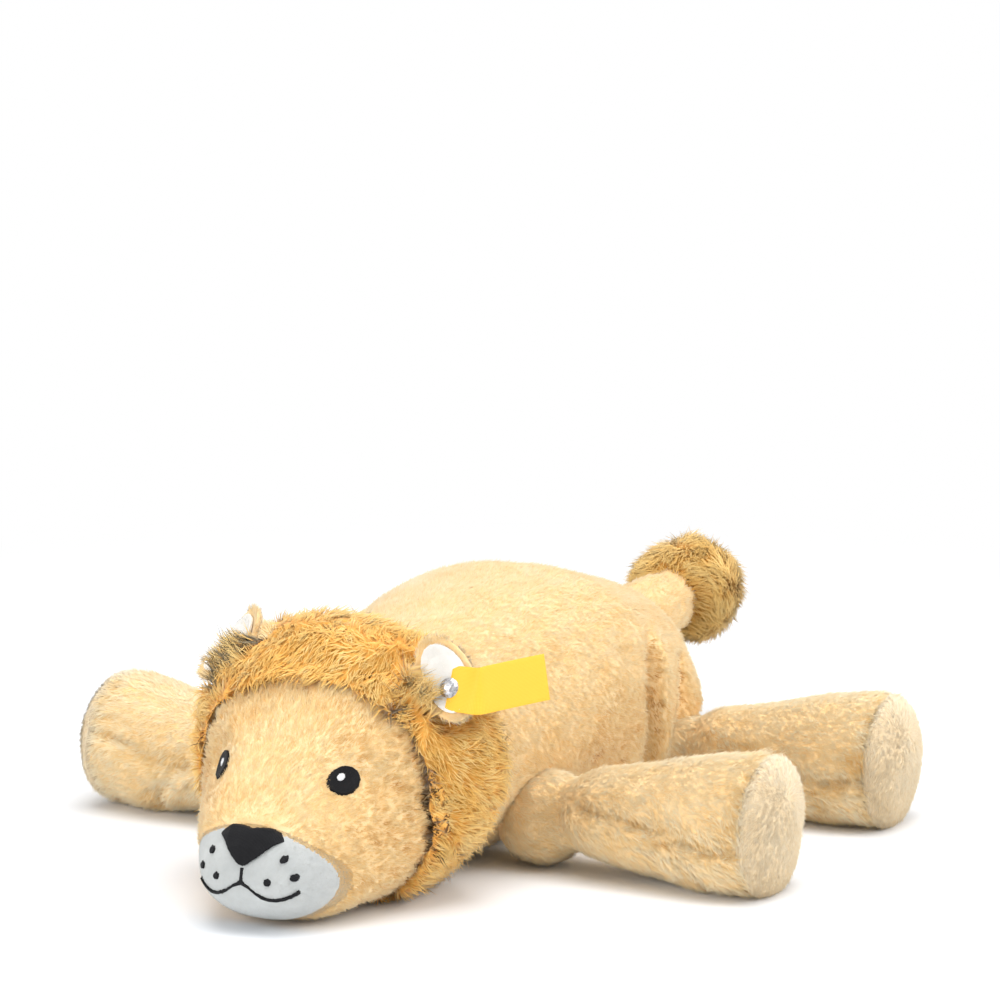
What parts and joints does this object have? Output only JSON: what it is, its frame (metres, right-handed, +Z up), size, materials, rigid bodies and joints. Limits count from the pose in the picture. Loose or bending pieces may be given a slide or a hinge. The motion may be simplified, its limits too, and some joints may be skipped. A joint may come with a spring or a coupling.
{
  "type": "plush lion",
  "caption": "Floppy stuffed lion lying flat on its belly, legs spread, with a turning, nodding head, swinging legs and tail, and folding ears.",
  "frame": {"origin": "middle of the belly's flat resting face, on the floor", "axes": "the lion faces -Y, its left side is +X, and +Z is up from the floor"},
  "size_m": [0.3127, 0.4139, 0.112],
  "materials": {
    "plush": "short-pile plush, pale cream gold",
    "mane_plush": "long-pile plush, amber",
    "velour": "short white velour",
    "sole_velour": "short cream velour",
    "thread": "satin stitch, near black",
    "highlight": "satin stitch, white",
    "fibre": "loose polyester fibre",
    "lining_cloth": "plain woven cotton",
    "tag_cloth": "woven ribbon, plain yellow",
    "rivet_steel": "polished"
  },
  "bodies": {
    "body": {"body_cover": "plush", "body_filling": "fibre", "pellet_pouch": "lining_cloth"},
    "neck": {"neck_closure": "lining_cloth"},
    "head": {"face_cover": "plush", "muzzle_panel": "velour", "head_filling": "fibre", "nose": "thread", "mouth_stitching": "thread", "eye_left": "thread", "eye_glint_left": "highlight", "eye_right": "thread", "eye_glint_right": "highlight", "whisker_dot_left_1": "thread", "whisker_dot_left_2": "thread", "whisker_dot_left_3": "thread", "whisker_dot_right_1": "thread", "whisker_dot_right_2": "thread", "whisker_dot_right_3": "thread", "mane": "mane_plush"},
    "front_left_hip": {"front_left_leg_root": "plush"},
    "front_left_leg": {"front_left_leg_cover": "plush", "front_left_leg_filling": "fibre", "front_left_sole": "sole_velour"},
    "front_right_hip": {"front_right_leg_root": "plush"},
    "front_right_leg": {"front_right_leg_cover": "plush", "front_right_leg_filling": "fibre", "front_right_sole": "sole_velour"},
    "hind_left_hip": {"hind_left_leg_root": "plush"},
    "hind_left_leg": {"hind_left_leg_cover": "plush", "hind_left_leg_filling": "fibre", "hind_left_sole": "sole_velour"},
    "hind_right_hip": {"hind_right_leg_root": "plush"},
    "hind_right_leg": {"hind_right_leg_cover": "plush", "hind_right_leg_filling": "fibre", "hind_right_sole": "sole_velour"},
    "tail_base": {"tail_root": "plush"},
    "tail": {"tail_cover": "plush", "tail_filling": "fibre", "tail_tuft": "mane_plush"},
    "ear_left": {"ear_left_back": "plush", "ear_left_lining": "velour", "ear_rivet": "rivet_steel", "rivet_washer": "rivet_steel"},
    "ear_right": {"ear_right_back": "plush", "ear_right_lining": "velour"},
    "tag": {"ear_tag": "tag_cloth"}
  },
  "joints": [
    {"name": "head_turn", "type": "hinge", "parent": "body", "child": "neck", "pos_m": [0, -0.075, 0.0495], "axis": [0, 0, 1], "range_deg": [-15, 15]},
    {"name": "head_nod", "type": "hinge", "parent": "neck", "child": "head", "pos_m": [0, -0.075, 0.0495], "axis": [-1, 0, 0], "range_deg": [0, 25]},
    {"name": "front_left_swing", "type": "hinge", "parent": "body", "child": "front_left_hip", "pos_m": [0.05229, -0.0503, 0.0195], "axis": [0, 0, 1], "range_deg": [-12, 18]},
    {"name": "front_left_lift", "type": "hinge", "parent": "front_left_hip", "child": "front_left_leg", "pos_m": [0.05229, -0.0503, 0.0195], "axis": [0.0157, -0.9999, 0], "range_deg": [-50, 12]},
    {"name": "front_right_swing", "type": "hinge", "parent": "body", "child": "front_right_hip", "pos_m": [-0.05229, -0.0503, 0.0195], "axis": [0, 0, 1], "range_deg": [-18, 12]},
    {"name": "front_right_lift", "type": "hinge", "parent": "front_right_hip", "child": "front_right_leg", "pos_m": [-0.05229, -0.0503, 0.0195], "axis": [0.105, 0.9945, 0], "range_deg": [-50, 12]},
    {"name": "hind_left_swing", "type": "hinge", "parent": "body", "child": "hind_left_hip", "pos_m": [0.05229, 0.06462, 0.0195], "axis": [0, 0, 1], "range_deg": [-12, 16]},
    {"name": "hind_left_lift", "type": "hinge", "parent": "hind_left_hip", "child": "hind_left_leg", "pos_m": [0.05229, 0.06462, 0.0195], "axis": [0.0518, -0.9987, 0], "range_deg": [-50, 7]},
    {"name": "hind_right_swing", "type": "hinge", "parent": "body", "child": "hind_right_hip", "pos_m": [-0.05229, 0.06462, 0.0195], "axis": [0, 0, 1], "range_deg": [-16, 12]},
    {"name": "hind_right_lift", "type": "hinge", "parent": "hind_right_hip", "child": "hind_right_leg", "pos_m": [-0.05229, 0.06462, 0.0195], "axis": [0.0518, 0.9987, 0], "range_deg": [-50, 7]},
    {"name": "tail_wag", "type": "hinge", "parent": "body", "child": "tail_base", "pos_m": [0, 0.10221, 0.054], "axis": [0, 0, 1], "range_deg": [-25, 25]},
    {"name": "tail_lift", "type": "hinge", "parent": "tail_base", "child": "tail", "pos_m": [0, 0.10221, 0.054], "axis": [1, 0, 0], "range_deg": [-20, 25]},
    {"name": "ear_left_fold", "type": "hinge", "parent": "head", "child": "ear_left", "pos_m": [0.04219, -0.13, 0.08554], "axis": [0.561, -0.2079, -0.8013], "range_deg": [-8, 12], "stiffness_Nm_per_rad": 0.01},
    {"name": "ear_right_fold", "type": "hinge", "parent": "head", "child": "ear_right", "pos_m": [-0.03945, -0.13, 0.0891], "axis": [0.6287, 0.2079, 0.7493], "range_deg": [-8, 12], "stiffness_Nm_per_rad": 0.01},
    {"name": "tag_swivel", "type": "hinge", "parent": "ear_left", "child": "tag", "pos_m": [0.05366, -0.12816, 0.08771], "axis": [-0.0467, 0.9105, -0.4108], "range_deg": [-5, 20]}
  ]
}
